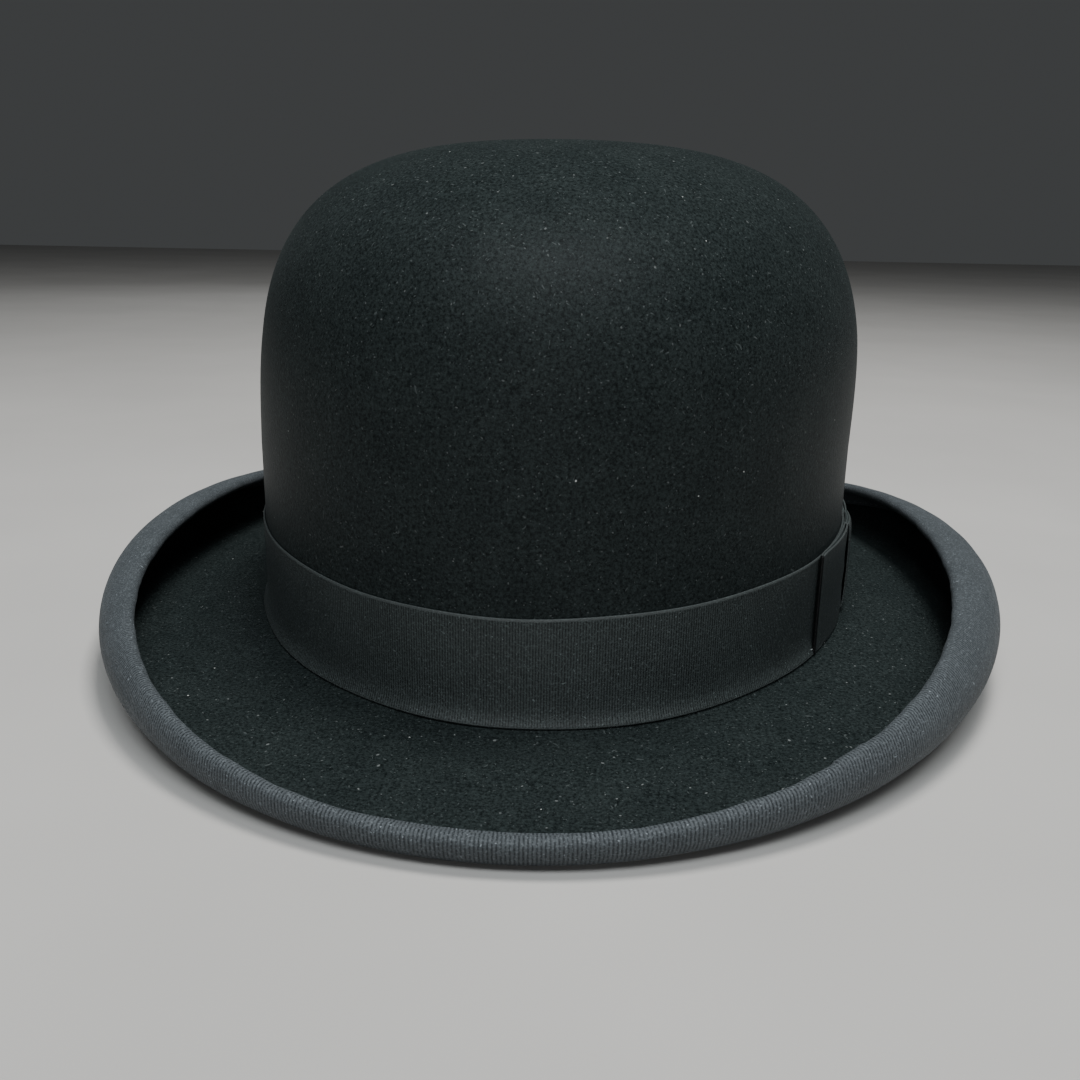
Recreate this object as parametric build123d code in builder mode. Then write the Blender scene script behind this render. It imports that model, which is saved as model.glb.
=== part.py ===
"""A bowler hat: stiff felt crown and curled brim with its ribbons, sweatband and lining.

Millimetres. +Z is up, -Y is the front of the hat, +X is the wearer's left.
The origin is on the surface the hat stands on, under the middle of the crown.
"""
import os
from math import cos, degrees, hypot, pi, radians, sin

from build123d import *

# Crown
CROWN_X = 85.1  # half width of the crown's outer wall
CROWN_Y = 101.1  # half length of the crown's outer wall
CROWN_TOP = 136.5  # height of the crown's top above the surface
DOME_FOOT = 56.5  # height where the upright wall starts to turn into the dome
DOME_WIDTH_POWER = 2.96  # how square the dome's shoulder is, across
DOME_HEIGHT_POWER = 3.23  # how square the dome's shoulder is, upwards
FELT = 2.4  # felt thickness

# Brim: the front and back touch the surface and the sides are lifted
BRIM_X = 128.2  # half width over the curl
HEADLINE_FRONT = 4.6  # top of the brim at the crown, at the front and back
HEADLINE_RISE = 4.2  # how much higher that line is at the sides
ROLL_FRONT = 7.0  # outer radius of the curl at the front and back
ROLL_RISE = 5.2  # how much larger it is at the sides
AXIS_RISE = 9.3  # how much higher the curl's axis is at the sides
EDGE_FRONT = 0.0  # how far round its curl the felt's edge reaches, degrees above level
EDGE_RISE = 100.0  # how much further it reaches at the sides
BREAK = 3.0  # radius of the turn between crown and brim
UPSTAND = 12.0  # height of the brim's rim that enters the foot of the crown's wall
UPSTAND_INSET = 0.3  # how far that rim lies inside the wall's two faces
WALL_START = BREAK + 1.5  # from the headline to the foot of the crown's shell
CLEAR_ABOVE = CROWN_TOP + 10  # height well above the hat

# Ribbons
RIBBON = 0.45  # thickness of the grosgrain
RIBBON_GAP = 0.2  # room between a ribbon and the felt under it
OUTER_FLAP = 20.0  # binding on the outside of the curl
INNER_FLAP = 7.0  # binding on the inside of the curl
FLAP_TAIL = 0.4  # straight bit that ends each flap
BAND_WIDTH = 26.0  # width of the hatband
BAND_LIFT = 0.7  # from the headline to the hatband's lower edge
BAND_FLARE = 1.7  # how far its lower edge turns out over the break

# Bow, on the wearer's left
BOW_FRONT = -55.0
BOW_BACK = 23.0
BOW_LOW = 10.5
BOW_HIGH = 35.5
BOW_DEPTH = 1.9
BOW_GAP = 0.2  # room between the hatband and the bow
KNOT_WIDTH = 14.0
KNOT_DEPTH = 1.5
KNOT_GAP = 0.15  # room between the bow and its knot
KNOT_REACH = 1.0  # how far the knot passes the bow's edges

# Inside
LINING = 0.35
LINING_GAP = 0.2  # room between the felt and the lining
SEAM_GAP = 0.1  # room between two sewn pieces
PIPING_INSET = 1.9  # from the lining's face to the middle of the piping
LINING_FOOT = 20.0
LINING_TOP = 130.0
LINING_SEAM = 118.0  # height of the seam between the lining's wall and its tip
PIPING = 1.0  # radius of the piping
LEATHER = 0.9
SWEATBAND_X = 81.8  # half width over the sweatband
SWEATBAND_Y = 97.8
SWEATBAND_WIDTH = 50.0
REED = 0.9  # radius of the reed
REED_GAP = 0.15  # room round the reed
TAPE = 0.3
TAPE_WIDTH = 11.0
LABEL = 0.15
THREAD = 0.2  # radius of the sewing thread
THREAD_LIFT = THREAD + 0.1  # the thread's middle above what it lies on
SLIP_GAP = 0.05  # room between the binding's edge and the thread that slip-stitches it
STITCH = 2.2  # length of a stitch
BINDING_STITCHES = 120
SWEATBAND_STITCHES = 90
THREAD_INSET = 1.5  # from the inner thread row to the ribbon's edge
SWEATBAND_THREAD_RISE = 3.0  # from the headline to the sweatband's thread row
TACK_LENGTH = 1.6
TACK_DROP = 1.0  # from the ribbon's edge to the middle of a tack
TACK_ANGLES = (-162, 166, 142, 118, 96, 74, 52, 30)
SEAM_STITCHES = 9
SEAM_FOOT = 6.0
SEAM_PITCH = 5.0
SMALL_BOW_HEIGHT = 12.0
SMALL_BOW_LENGTH = 26.0
SMALL_BOW_WIDTH = 7.0
SMALL_BOW_DEPTH = 1.4
SMALL_BOW_OFF = 1.0  # from the leather to the back of the small bow, over the seam's stitches
SMALL_KNOT_DEPTH = 0.8
LABEL_LOW = 38.0
LABEL_HIGH = 64.0
LABEL_LENGTH = 26.0
LABEL_PLACE = 42.0
LABEL_OFF = 0.15

LONG_RATIO = CROWN_Y / CROWN_X
SECTION_ANGLES = range(-100, 101, 10)
EDGE_WRAP = FELT / 2 + RIBBON_GAP + RIBBON  # half the thickness of the bound edge


def heading(angle):
    """Unit direction, seen from above, of the cross-section at this angle round the hat."""
    along_x = cos(radians(angle))
    along_y = LONG_RATIO * sin(radians(angle))
    length = hypot(along_x, along_y)
    return along_x / length, along_y / length


def radial_plane(angle):
    """Upright plane through the hat's axis: its x runs outwards and its y runs up."""
    along_x, along_y = heading(angle)
    return Plane(origin=(0, 0, 0), x_dir=(along_x, along_y, 0), z_dir=(along_y, -along_x, 0))


def reach(half_x, half_y, angle):
    """Distance from the axis to an ellipse, along the heading at this angle."""
    along_x, along_y = heading(angle)
    return 1 / hypot(along_x / half_x, along_y / half_y)


def sideness(angle):
    """0 at the front and back of the hat, 1 at its sides."""
    return cos(radians(angle)) ** 2


def headline(angle):
    """Height of the brim's top surface where it meets the crown."""
    return HEADLINE_FRONT + HEADLINE_RISE * sideness(angle)


class Curl:
    """The brim's curl at one angle: its axis, its radius and how far round the felt's edge is."""

    def __init__(self, angle):
        side = sideness(angle)
        self.radius = ROLL_FRONT + ROLL_RISE * side
        self.axis = (
            reach(BRIM_X, BRIM_X * LONG_RATIO, angle) - self.radius,
            ROLL_FRONT + AXIS_RISE * side,
        )
        self.edge = EDGE_FRONT + EDGE_RISE * side

    def point(self, radius, turn):
        """Point at this radius from the curl's axis, at this turn above level, in degrees."""
        return (
            self.axis[0] + radius * cos(radians(turn)),
            self.axis[1] + radius * sin(radians(turn)),
        )

    def foot_turn(self, radius, flap):
        """Turn at which a flap of this length, laid down from the edge, leaves the arc."""
        return max(-90.0, self.edge - degrees(flap / radius))

    def flap_end(self, radius, flap):
        """End of the flap: past the curl's foot it runs straight on, level, towards the crown."""
        turn = self.foot_turn(radius, flap)
        run = FLAP_TAIL + max(0.0, flap - radians(self.edge + 90) * radius)
        foot = self.point(radius, turn)
        return foot[0] + run * sin(radians(turn)), foot[1] - run * cos(radians(turn))


def curl_arc(curl, radius, start, end):
    """Arc about the curl's axis between two turns."""
    middle = (start + end) / 2
    return ThreePointArc(
        curl.point(radius, start), curl.point(radius, middle), curl.point(radius, end)
    )


def edge_cap(curl, half_thickness):
    """Half circle round the felt's edge, from the outside of the curl to the inside."""
    middle_radius = curl.radius - EDGE_WRAP
    crest = curl.point(middle_radius, curl.edge)
    tip = (
        crest[0] - half_thickness * sin(radians(curl.edge)),
        crest[1] + half_thickness * cos(radians(curl.edge)),
    )
    return ThreePointArc(
        curl.point(middle_radius + half_thickness, curl.edge),
        tip,
        curl.point(middle_radius - half_thickness, curl.edge),
    )


def brim_outline(angle):
    """Felt brim with its curl, and an upstand that enters the foot of the crown's wall."""
    curl = Curl(angle)
    inset = UPSTAND_INSET
    wall = reach(CROWN_X - inset, CROWN_Y - inset, angle)
    hollow = reach(CROWN_X - FELT + inset, CROWN_Y - FELT + inset, angle)
    under_turn = wall - hollow + BREAK
    top = headline(angle)
    under = top - FELT
    upstand = top + UPSTAND
    outside = curl.radius - RIBBON - RIBBON_GAP
    inside = outside - FELT
    slant = cos(pi / 4)
    Line((hollow, upstand), (wall, upstand))
    Line((wall, upstand), (wall, top + BREAK))
    ThreePointArc(
        (wall, top + BREAK),
        (wall + BREAK * (1 - slant), top + BREAK * (1 - slant)),
        (wall + BREAK, top),
    )
    Line((wall + BREAK, top), curl.point(inside, -90))
    curl_arc(curl, inside, -90, curl.edge)
    edge_cap(curl, FELT / 2)
    curl_arc(curl, outside, curl.edge, -90)
    Line(curl.point(outside, -90), (hollow + under_turn, under))
    ThreePointArc(
        (hollow + under_turn, under),
        (hollow + under_turn * (1 - slant), under + under_turn * (1 - slant)),
        (hollow, under + under_turn),
    )
    Line((hollow, under + under_turn), (hollow, upstand))


def binding_outline(angle):
    """Ribbon folded round the edge: a long flap outside the curl and a short one inside."""
    curl = Curl(angle)
    layers = (
        (curl.radius, OUTER_FLAP),
        (curl.radius - RIBBON, OUTER_FLAP),
        (curl.radius - 2 * EDGE_WRAP, INNER_FLAP),
        (curl.radius - 2 * EDGE_WRAP + RIBBON, INNER_FLAP),
    )
    for radius, flap in layers:
        foot = curl.foot_turn(radius, flap)
        curl_arc(curl, radius, curl.edge, foot)
        Line(curl.point(radius, foot), curl.flap_end(radius, flap))
    edge_cap(curl, EDGE_WRAP)
    edge_cap(curl, EDGE_WRAP - RIBBON)
    Line(curl.flap_end(*layers[0]), curl.flap_end(*layers[1]))
    Line(curl.flap_end(*layers[2]), curl.flap_end(*layers[3]))


def outer_thread_centre(angle):
    """Middle of the thread row along the edge of the binding's outer flap, level with the flap."""
    curl = Curl(angle)
    return curl.flap_end(curl.radius - RIBBON / 2, OUTER_FLAP + SLIP_GAP + THREAD)


def inner_thread_centre(angle):
    """Middle of the thread row on the binding's inner flap, near that flap's edge."""
    curl = Curl(angle)
    inside = curl.radius - 2 * EDGE_WRAP - THREAD_LIFT
    turn = curl.edge - degrees((INNER_FLAP - THREAD_INSET) / (inside + THREAD_LIFT))
    return curl.point(inside, turn)


def hatband_outline(angle):
    """Ribbon against the crown's wall, its lower edge turned out over the break."""
    inner = reach(CROWN_X + RIBBON_GAP, CROWN_Y + RIBBON_GAP, angle)
    foot = headline(angle) + BAND_LIFT
    bend = foot + BREAK
    top = foot + BAND_WIDTH
    Polyline((inner, bend), (inner, top), (inner + RIBBON, top), (inner + RIBBON, bend))
    Line((inner + RIBBON, bend), (inner + RIBBON + BAND_FLARE, foot))
    Line((inner + RIBBON + BAND_FLARE, foot), (inner + BAND_FLARE, foot))
    Line((inner + BAND_FLARE, foot), (inner, bend))


def reed_centre(angle):
    """Middle of the reed, just under the sweatband's lower edge."""
    return reach(SWEATBAND_X - REED, SWEATBAND_Y - REED, angle), headline(angle) - REED - REED_GAP


def reed_outline(angle):
    """Reed, eight-sided."""
    middle = reed_centre(angle)
    corners = []
    for corner in range(8):
        turn = 2 * pi * (corner + 0.5) / 8
        corners.append((middle[0] + REED * cos(turn), middle[1] + REED * sin(turn)))
    Polyline(*corners, close=True)


def tape_outline(angle):
    """Cloth tape that lies behind the sweatband and turns in under the reed."""
    outer = reach(SWEATBAND_X + REED_GAP + TAPE, SWEATBAND_Y + REED_GAP + TAPE, angle)
    inner = outer - TAPE
    lip = reed_centre(angle)[0] - REED
    under = headline(angle) - 2 * (REED + REED_GAP)
    top = under + TAPE_WIDTH
    Polyline(
        (inner, top),
        (outer, top),
        (outer, under - TAPE),
        (lip, under - TAPE),
        (lip, under),
        (inner, under),
        close=True,
    )


def sweatband_thread_centre(angle):
    """Middle of the thread row on the sweatband's inner face, above the reed."""
    inner = reach(SWEATBAND_X - LEATHER, SWEATBAND_Y - LEATHER, angle)
    return inner - THREAD_LIFT, headline(angle) + SWEATBAND_THREAD_RISE


def ring_sections(outline):
    """Cross-sections of half a ring, a little past both ends, drawn by the outline function."""
    sections = []
    for angle in SECTION_ANGLES:
        with BuildSketch(radial_plane(angle)) as section:
            with BuildLine():
                outline(angle)
            make_face()
        sections.append(section.sketch)
    return sections


def half_ring(outline):
    """Half of a ring round the hat, on the +X side, lofted through its cross-sections."""
    with BuildPart() as ring:
        loft(ring_sections(outline))
        split(bisect_by=Plane.YZ, keep=Keep.TOP)
    return ring.part


def stitch_places(centre, count):
    """Planes of straight stitches at equal steps round the hat, on the centre function's line."""
    places = []
    for step in range(count):
        angle = 360 / count * (step + 0.5)
        middle = radial_plane(angle).from_local_coords(Vector(*centre(angle), 0))
        ahead = radial_plane(angle + 1).from_local_coords(Vector(*centre(angle + 1), 0))
        places.append(Plane(origin=middle, x_dir=ahead - middle))
    return places


def dome_points(half_width, top, steps=10):
    """Points of the dome's profile, from the foot of the dome to its top."""
    points = []
    for step in range(steps + 1):
        turn = pi / 2 * step / steps
        across = half_width * max(0.0, cos(turn)) ** (2 / DOME_WIDTH_POWER)
        height = DOME_FOOT + (top - DOME_FOOT) * sin(turn) ** (2 / DOME_HEIGHT_POWER)
        points.append((across, height))
    points[-1] = (0, top)
    return points


def dome_solid(half_x, half_y, foot, top):
    """Solid dome on an oval plan: an upright wall from foot, then the rounded top."""
    with BuildPart() as dome:
        with BuildSketch(Plane.XZ):
            with BuildLine():
                Line((0, top), (0, foot))
                Line((0, foot), (half_x, foot))
                Line((half_x, foot), (half_x, DOME_FOOT))
                Spline(*dome_points(half_x, top), tangents=[(0, 1), (-1, 0)])
            make_face()
        revolve(axis=Axis.Z)
        scale(by=(1, half_y / half_x, 1))
    return dome.part


def saddle_block(height, top):
    """Block from an arched surface, which rises to the sides as the headline does, up to top."""
    half_span = 160.0
    half_length = 170.0
    rise = HEADLINE_RISE * (half_span / CROWN_X) ** 2
    with BuildPart() as block:
        with BuildSketch(Plane.XZ.offset(-half_length)):
            with BuildLine():
                ThreePointArc((-half_span, height + rise), (0, height), (half_span, height + rise))
                Polyline(
                    (half_span, height + rise),
                    (half_span, top),
                    (-half_span, top),
                    (-half_span, height + rise),
                )
            make_face()
        extrude(amount=2 * half_length)
    return block.part


def oval_slab(inner, depth, low, high):
    """Upright oval wall, standing this far off the crown's wall, between two heights."""
    with BuildPart() as slab:
        with BuildSketch(Plane.XY.offset(low)):
            Ellipse(CROWN_X + inner + depth, CROWN_Y + inner + depth)
            Ellipse(CROWN_X + inner, CROWN_Y + inner, mode=Mode.SUBTRACT)
        extrude(amount=high - low)
    return slab.part


def save(piece, name):
    """Label the piece with its name and write it to its own file."""
    piece.part.label = name
    export_step(piece.part, f"parts/{name}.step")


os.makedirs("parts", exist_ok=True)

# Felt body: the crown's shell down to just above the brim, and the brim with its curl
crown_outside = dome_solid(CROWN_X, CROWN_Y, 0, CROWN_TOP)
crown_hollow = dome_solid(CROWN_X - FELT, CROWN_Y - FELT, -1, CROWN_TOP - FELT)
above_break = saddle_block(HEADLINE_FRONT + WALL_START, CLEAR_ABOVE)

with BuildPart() as felt_body:
    add(half_ring(brim_outline))
    mirror(about=Plane.YZ)
    add((crown_outside - crown_hollow) & above_break)
save(felt_body, "felt_body")

# Binding round the brim's edge, and the thread row on each of its flaps
with BuildPart() as brim_binding:
    add(half_ring(binding_outline))
    mirror(about=Plane.YZ)
save(brim_binding, "brim_binding")

with BuildPart() as binding_stitching:
    outer_row = stitch_places(outer_thread_centre, BINDING_STITCHES)
    inner_row = stitch_places(inner_thread_centre, BINDING_STITCHES)
    with Locations(*outer_row, *inner_row):
        Box(STITCH, 2 * THREAD, 2 * THREAD)
save(binding_stitching, "binding_stitching")

# Hatband and the small stitches that hold its edges
with BuildPart() as hatband:
    add(half_ring(hatband_outline))
    mirror(about=Plane.YZ)
save(hatband, "hatband")

with BuildPart() as hatband_tacks:
    for angle in TACK_ANGLES:
        off_wall = reach(CROWN_X, CROWN_Y, angle) + RIBBON_GAP + RIBBON + 2 * THREAD
        with BuildSketch(radial_plane(angle)):
            with Locations((off_wall, headline(angle) + BAND_WIDTH - TACK_DROP)):
                Rectangle(2 * THREAD, TACK_LENGTH)
        extrude(amount=THREAD, both=True)
save(hatband_tacks, "hatband_tacks")

# Bow: the folded ribbon, the knot round its middle and the tacks at its ends
bow_off = RIBBON_GAP + RIBBON + BOW_GAP
bow_middle = (BOW_FRONT + BOW_BACK) / 2
loops_wall = oval_slab(bow_off, BOW_DEPTH, BOW_LOW, BOW_HIGH)
knot_off = bow_off + BOW_DEPTH + KNOT_GAP
knot_wall = oval_slab(knot_off, KNOT_DEPTH, BOW_LOW - KNOT_REACH, BOW_HIGH + KNOT_REACH)

with BuildPart() as bow_loops:
    with BuildSketch(Plane.XY):
        with Locations((CROWN_X, bow_middle)):
            Rectangle(CROWN_X, BOW_BACK - BOW_FRONT)
    extrude(amount=CROWN_TOP)
    add(loops_wall, mode=Mode.INTERSECT)
save(bow_loops, "bow_loops")

with BuildPart() as bow_knot:
    with BuildSketch(Plane.XY):
        with Locations((CROWN_X, bow_middle)):
            Rectangle(CROWN_X, KNOT_WIDTH)
    extrude(amount=CROWN_TOP)
    add(knot_wall, mode=Mode.INTERSECT)
save(bow_knot, "bow_knot")

with BuildPart() as bow_tacks:
    for along_y in (BOW_FRONT - TACK_DROP, BOW_BACK + TACK_DROP):
        off = bow_off + THREAD
        along_x = (CROWN_X + off) * (1 - (along_y / (CROWN_Y + off)) ** 2) ** 0.5
        with Locations((along_x, along_y, BOW_LOW + TACK_DROP)):
            Box(2 * THREAD, 2 * THREAD, TACK_LENGTH)
save(bow_tacks, "bow_tacks")

# Sweatband, its reed, tape and stitching
with BuildPart() as sweatband:
    with BuildSketch(Plane.XY):
        Ellipse(SWEATBAND_X, SWEATBAND_Y)
        Ellipse(SWEATBAND_X - LEATHER, SWEATBAND_Y - LEATHER, mode=Mode.SUBTRACT)
    extrude(amount=CROWN_TOP)
    add(saddle_block(HEADLINE_FRONT, CLEAR_ABOVE), mode=Mode.INTERSECT)
    add(saddle_block(HEADLINE_FRONT + SWEATBAND_WIDTH, CLEAR_ABOVE), mode=Mode.SUBTRACT)
save(sweatband, "sweatband")

with BuildPart() as sweatband_reed:
    add(half_ring(reed_outline))
    mirror(about=Plane.YZ)
save(sweatband_reed, "sweatband_reed")

with BuildPart() as reed_tape:
    add(half_ring(tape_outline))
    mirror(about=Plane.YZ)
save(reed_tape, "reed_tape")

with BuildPart() as sweatband_stitching:
    with Locations(*stitch_places(sweatband_thread_centre, SWEATBAND_STITCHES)):
        Box(STITCH, 2 * THREAD, 2 * THREAD)
save(sweatband_stitching, "sweatband_stitching")

# The sweatband's seam at the back: its stitches, and the small bow over it
seam_y = SWEATBAND_Y - LEATHER
with BuildPart() as sweatband_seam_stitches:
    for step in range(SEAM_STITCHES):
        height = HEADLINE_FRONT + SEAM_FOOT + step * SEAM_PITCH
        with Locations((0, seam_y - THREAD_LIFT, height)):
            Box(TACK_LENGTH * 2, 2 * THREAD, 2 * THREAD)
save(sweatband_seam_stitches, "sweatband_seam_stitches")

small_bow_back = (0, seam_y - SMALL_BOW_OFF, SMALL_BOW_HEIGHT)
small_bow_plane = Plane(origin=small_bow_back, x_dir=(1, 0, 0), z_dir=(0, -1, 0))
with BuildPart() as sweatband_bow:
    with BuildSketch(small_bow_plane):
        with BuildLine():
            Polyline(
                (0, SMALL_BOW_WIDTH / 5),
                (SMALL_BOW_LENGTH / 2, SMALL_BOW_WIDTH / 2),
                (SMALL_BOW_LENGTH / 2, -SMALL_BOW_WIDTH / 2),
                (0, -SMALL_BOW_WIDTH / 5),
            )
            mirror(about=Plane.YZ)
        make_face()
    extrude(amount=SMALL_BOW_DEPTH)
save(sweatband_bow, "sweatband_bow")

with BuildPart() as sweatband_bow_knot:
    with BuildSketch(small_bow_plane.offset(SMALL_BOW_DEPTH + SEAM_GAP)):
        RectangleRounded(SMALL_BOW_WIDTH * 0.6, SMALL_BOW_WIDTH * 0.8, 1)
    extrude(amount=SMALL_KNOT_DEPTH)
save(sweatband_bow_knot, "sweatband_bow_knot")

# Lining: the wall, the oval tip, and the piping over their seam
lining_x = CROWN_X - FELT - LINING_GAP
lining_y = CROWN_Y - FELT - LINING_GAP
lining_outside = dome_solid(lining_x, lining_y, LINING_FOOT, LINING_TOP)
lining_hollow = dome_solid(lining_x - LINING, lining_y - LINING, LINING_FOOT - 1, LINING_TOP - LINING)
lining_shell = lining_outside - lining_hollow

with BuildPart() as lining_wall:
    add(lining_shell)
    split(bisect_by=Plane.XY.offset(LINING_SEAM), keep=Keep.BOTTOM)
save(lining_wall, "lining_wall")

with BuildPart() as lining_tip:
    add(lining_shell)
    split(bisect_by=Plane.XY.offset(LINING_SEAM + SEAM_GAP), keep=Keep.TOP)
save(lining_tip, "lining_tip")

seam_rise = (LINING_SEAM - DOME_FOOT) / (LINING_TOP - DOME_FOOT)
seam_share = (1 - seam_rise**DOME_HEIGHT_POWER) ** (1 / DOME_WIDTH_POWER)
with BuildPart() as lining_piping:
    with BuildSketch(Plane.XZ):
        with Locations((lining_x * seam_share - PIPING_INSET, LINING_SEAM - PIPING)):
            Circle(PIPING)
    revolve(axis=Axis.Z)
    scale(by=(1, lining_y / lining_x, 1))
save(lining_piping, "lining_piping")

# Blank paper label, between the lining and the sweatband
with BuildPart() as size_label:
    with BuildSketch(Plane.XY.offset(LABEL_LOW)):
        Ellipse(SWEATBAND_X + LABEL_OFF + LABEL, SWEATBAND_Y + LABEL_OFF + LABEL)
        Ellipse(SWEATBAND_X + LABEL_OFF, SWEATBAND_Y + LABEL_OFF, mode=Mode.SUBTRACT)
    extrude(amount=LABEL_HIGH - LABEL_LOW)
    with BuildSketch(Plane.XY.offset(LABEL_LOW)):
        with Locations((-LABEL_PLACE, CROWN_Y)):
            Rectangle(LABEL_LENGTH, CROWN_Y)
    extrude(amount=LABEL_HIGH - LABEL_LOW, mode=Mode.INTERSECT)
save(size_label, "size_label")
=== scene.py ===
"""Bowler hat: the finished look of each piece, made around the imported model's frame."""
import math

import bpy
import numpy as np
from mathutils import Matrix, Vector


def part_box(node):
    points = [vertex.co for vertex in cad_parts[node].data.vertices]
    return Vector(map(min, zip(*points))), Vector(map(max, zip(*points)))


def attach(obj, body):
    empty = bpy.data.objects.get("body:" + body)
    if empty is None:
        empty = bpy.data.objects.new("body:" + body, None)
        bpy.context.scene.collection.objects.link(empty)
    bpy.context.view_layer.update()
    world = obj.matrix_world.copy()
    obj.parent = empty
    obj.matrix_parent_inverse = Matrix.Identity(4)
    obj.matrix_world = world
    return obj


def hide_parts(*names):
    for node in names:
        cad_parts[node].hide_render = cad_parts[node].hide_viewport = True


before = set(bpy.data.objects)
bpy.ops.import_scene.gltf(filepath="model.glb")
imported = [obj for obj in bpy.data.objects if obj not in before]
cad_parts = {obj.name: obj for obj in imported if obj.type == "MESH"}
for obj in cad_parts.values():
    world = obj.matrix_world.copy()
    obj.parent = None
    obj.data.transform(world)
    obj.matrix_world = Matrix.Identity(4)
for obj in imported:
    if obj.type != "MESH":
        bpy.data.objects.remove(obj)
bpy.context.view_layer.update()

# Shapes are worked out in millimetres and written to the meshes in metres
MM = 0.001
noise = np.random.default_rng(7)


def cad_size(node):
    """Half width, half length, lowest and highest point of a CAD node, in millimetres."""
    low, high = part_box(node)
    return np.array([(high[0] - low[0]) / 2, (high[1] - low[1]) / 2, low[2], high[2]]) / MM


# Half axes of the hat's ellipses and its height, from the frame
BRIM_X, BRIM_Y = cad_size("brim_binding")[:2]
LEATHER_X, LEATHER_Y = cad_size("sweatband")[:2]
WALL_GAP = 3.3  # from the leather's outer face to the crown's outer wall
WALL_X, WALL_Y = LEATHER_X + WALL_GAP, LEATHER_Y + WALL_GAP
CROWN_TOP = cad_size("felt_body")[3]

# The felt: a rise is what a size gains from the hat's front and back to its sides
FELT = 2.4
DOME_FOOT = 56.5
DOME_PLAN, DOME_RISE = 2.96, 3.23  # exponents of the dome's rounding, outwards and upwards
CROWN_LEAN, LEAN_HEIGHT = 0.8, 30.0  # to the wearer's left, reached this far above the dome's foot
HEADLINE_FRONT, HEADLINE_RISE = 4.6, 4.2  # height of the brim's top where it meets the crown
BREAK = 3.0  # radius between crown and brim
ROLL_FRONT, ROLL_RISE = 5.7, 6.5  # radius of the brim's curl
AXIS_RISE = 10.6  # the curl's axis is as high as its radius at the front
EDGE_RISE = 100.0  # how far the edge is turned past upright at the sides, in degrees

# The ribbons and threads
RIBBON, RIBBON_GAP = 0.45, 0.2
EDGE_WRAP = FELT / 2 + RIBBON_GAP + RIBBON
OUTER_FLAP, INNER_FLAP = 20.0, 7.0
BINDING_WIDTH = OUTER_FLAP + INNER_FLAP + math.pi * EDGE_WRAP
BAND_WIDTH = 26.0
BAND_LIFT = 0.9  # from the brim's top surface to the hatband's lower edge
BAND_OUT = RIBBON_GAP + RIBBON + 0.1  # how far the hatband's face stands off the felt
BAND_PITCH, BINDING_PITCH = 0.65, 0.83  # from rib to rib of the grosgrain
JOIN_ANGLE, JOIN_SPAN = -55.0, 4.0  # where the binding's ends lap, in degrees
JOIN_LAP = 0.4  # how far the lap stands up
WOVEN_EDGE = 0.5  # width of the flat edge beside the ribs
THREAD = 0.2
SWEATBAND_HEIGHT = 50.0
SEWN_HEIGHT = 3.6  # of the sweatband's thread row, from the brim's top surface
SMALL_BOW_HEIGHT = 12.0  # of its middle, from the floor

# How far points are round the brim's edge, in radians: half a turn without its two ends
EDGE_BENDS = np.linspace(0, math.pi, 8)[1:-1][None, :]


# ---------------------------------------------------------------- places on the hat


def even_turns(half_x, half_y, count, start=0.0, end=2 * math.pi, closed=True):
    """Ellipse parameters that divide this stretch of the ellipse into equal lengths."""
    fine = np.linspace(start, end, 8001)
    x, y = half_x * np.cos(fine), half_y * np.sin(fine)
    run = np.concatenate([[0], np.cumsum(np.hypot(np.diff(x), np.diff(y)))])
    steps = np.linspace(0, run[-1], count + 1)[:-1] if closed else np.linspace(0, run[-1], count)
    return np.interp(steps, run, fine), run[-1]


def place(turns, half_x, half_y, out, height):
    """Points beside an ellipse: out is measured square to it, height from the floor."""
    cos, sin = np.cos(turns)[:, None], np.sin(turns)[:, None]
    normal_x, normal_y = cos * half_y, sin * half_x
    length = np.hypot(normal_x, normal_y)
    out, height = np.broadcast_arrays(np.asarray(out, float), np.asarray(height, float))
    x = half_x * cos + normal_x / length * out
    y = half_y * sin + normal_y / length * out
    return np.stack([x, y, np.broadcast_to(height, x.shape)], axis=-1)


def sideness(turns):
    """0 at the front and back of the hat, 1 at its sides."""
    return np.cos(turns)[:, None] ** 2


def lean(points):
    """The blocked crown stands a touch to the wearer's left of the brim's middle."""
    moved = points.copy()
    moved[..., 0] += CROWN_LEAN * np.clip((points[..., 2] - DOME_FOOT) / LEAN_HEIGHT, 0, 1)
    return moved


def headline(turns):
    """Height of the brim's top surface where it meets the crown."""
    return HEADLINE_FRONT + HEADLINE_RISE * sideness(turns)


def curl(turns):
    """The brim's curl: its radius, its axis height, and how far round the edge is, in radians."""
    side = sideness(turns)
    return ROLL_FRONT + ROLL_RISE * side, ROLL_FRONT + AXIS_RISE * side, np.radians(EDGE_RISE * side)


def on_curl(turns, depth, turn):
    """Points of the curl at this depth under its outer skin, turned this far above level."""
    radius, axis, _ = curl(turns)
    inner = radius - depth
    return place(turns, BRIM_X, BRIM_Y, inner * np.cos(turn) - radius, axis + inner * np.sin(turn))


def along_flap(turns, depth, run):
    """Points of the curl at this run from the edge, round the arc and then level on its foot."""
    radius, axis, edge = curl(turns)
    inner = radius - depth
    turn = np.maximum(-math.pi / 2, edge - run / inner)
    level = np.maximum(0, run - (edge + math.pi / 2) * inner)
    points = on_curl(turns, depth, turn)
    shift = place(turns, BRIM_X, BRIM_Y, -level, 0) - place(turns, BRIM_X, BRIM_Y, 0, 0)
    return points + shift


def round_edge(turns, depth, half):
    """Points round the curl's edge, from inside to outside, this far from the line at this depth."""
    radius, axis, edge = curl(turns)
    middle = radius - depth
    inwards, past = half * np.cos(EDGE_BENDS), half * np.sin(EDGE_BENDS)
    out = (middle - inwards) * np.cos(edge) - past * np.sin(edge)
    up = (middle - inwards) * np.sin(edge) + past * np.cos(edge)
    return place(turns, BRIM_X, BRIM_Y, out - radius, axis + up)


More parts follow.
